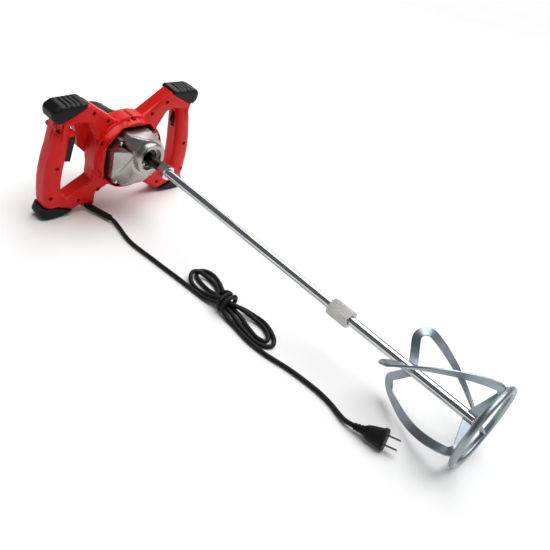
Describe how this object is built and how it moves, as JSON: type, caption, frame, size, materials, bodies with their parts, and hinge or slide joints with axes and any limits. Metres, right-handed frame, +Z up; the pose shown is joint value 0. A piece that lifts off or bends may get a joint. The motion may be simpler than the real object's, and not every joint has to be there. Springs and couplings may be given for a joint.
{
  "type": "drill paint mixer",
  "caption": "Electric paint mixer with a D-shaped handle on each side of its motor, a geared spindle and a long threaded-together rod ending in a bladed paddle with a ring.",
  "frame": {"origin": "on the floor, under the middle of the mixer's length and width, the coiled cord and the plug not counted", "axes": "+X across the handles towards the one with the speed dial, +Y along the floor from the paddle ring to the motor cover, +Z up; the spindle's axis falls 4.94 degrees towards the paddle"},
  "size_m": [0.3012, 0.8487, 0.2096],
  "materials": {
    "red_casing": "satin moulded nylon",
    "black_cover": "fine moulded texture",
    "bumper_rubber": "soft moulded rubber",
    "casing_screw": "black finish",
    "black_control": "moulded",
    "gearbox_metal": "die cast",
    "gearbox_screw": "plated",
    "turned_steel": "turned and ground",
    "black_oxide_steel": "black oxide",
    "laminated_steel": "laminated",
    "copper": "turned copper",
    "carbon": "pressed carbon",
    "zinc_rod": "bright zinc plate",
    "zinc_nut": "bright zinc plate",
    "zinc_coupling": "dull zinc plate with scratches",
    "zinc_paddle": "blue zinc plate",
    "cord_sleeve": "moulded",
    "cord_jacket": "matte jacket",
    "plug_plastic": "moulded",
    "plug_blade": "dull brass"
  },
  "bodies": {
    "casing": {"front_housing": "red_casing", "rear_housing": "red_casing", "motor_cover": "black_cover", "top_left_bumper": "bumper_rubber", "top_right_bumper": "bumper_rubber", "bottom_left_bumper": "bumper_rubber", "bottom_right_bumper": "bumper_rubber", "casing_screw_1": "casing_screw", "casing_screw_2": "casing_screw", "casing_screw_3": "casing_screw", "casing_screw_4": "casing_screw", "casing_screw_5": "casing_screw", "casing_screw_6": "casing_screw", "casing_screw_7": "casing_screw", "casing_screw_8": "casing_screw", "switch_body": "black_control", "speed_control": "black_control", "stator": "laminated_steel", "front_motor_bearing": "turned_steel", "rear_motor_bearing": "turned_steel", "spindle_bearing": "turned_steel", "circlip": "turned_steel", "gearbox_housing": "gearbox_metal", "bearing_plate": "gearbox_metal", "gearbox_screw_1": "gearbox_screw", "gearbox_screw_2": "gearbox_screw", "gearbox_screw_3": "gearbox_screw", "gearbox_screw_4": "gearbox_screw", "left_brush": "carbon", "right_brush": "carbon", "left_brush_holder": "black_control", "right_brush_holder": "black_control", "strain_relief": "cord_sleeve", "cord_lead": "cord_jacket", "cord_tail": "cord_jacket", "cord_hank": "cord_jacket", "plug_body": "plug_plastic", "left_plug_blade": "plug_blade", "right_plug_blade": "plug_blade"},
    "trigger": {"switch_trigger": "black_control"},
    "dial": {"speed_dial": "black_control"},
    "armature": {"armature_shaft": "turned_steel", "armature_core": "laminated_steel", "commutator": "copper", "cooling_fan": "black_control"},
    "lay_gears": {"lay_wheel": "turned_steel", "lay_shaft": "turned_steel"},
    "mixer_shaft": {"output_gear": "turned_steel", "spindle": "black_oxide_steel", "lock_nut": "zinc_nut", "upper_rod": "zinc_rod", "hex_coupling": "zinc_coupling", "lower_rod": "zinc_rod", "first_blade": "zinc_paddle", "second_blade": "zinc_paddle", "third_blade": "zinc_paddle", "paddle_ring": "zinc_paddle"}
  },
  "joints": [
    {"name": "spindle_spin", "type": "hinge", "parent": "casing", "child": "mixer_shaft", "pos_m": [0, 0.3047, 0.12526], "axis": [0, 0.9963, 0.086], "continuous": true},
    {"name": "lay_spin", "type": "hinge", "parent": "casing", "child": "lay_gears", "pos_m": [0.02292, 0.3058, 0.11251], "axis": [0, 0.9963, 0.086], "continuous": true},
    {"name": "armature_spin", "type": "hinge", "parent": "casing", "child": "armature", "pos_m": [0, 0.30634, 0.10633], "axis": [0, 0.9963, 0.086], "continuous": true},
    {"name": "trigger_press", "type": "slide", "parent": "casing", "child": "trigger", "axis": [-1, 0, 0], "range_m": [0, 0.006], "stiffness_N_per_m": 600, "springref_m": -0.004},
    {"name": "dial_turn", "type": "hinge", "parent": "casing", "child": "dial", "pos_m": [0.1175, 0.32126, 0.14275], "axis": [0, 0.9963, 0.086], "range_deg": [0, 270]}
  ],
  "couplings": [
    {"joint": "lay_spin", "follows": "spindle_spin", "ratio": -3.6667},
    {"joint": "armature_spin", "follows": "spindle_spin", "ratio": 16.238}
  ]
}
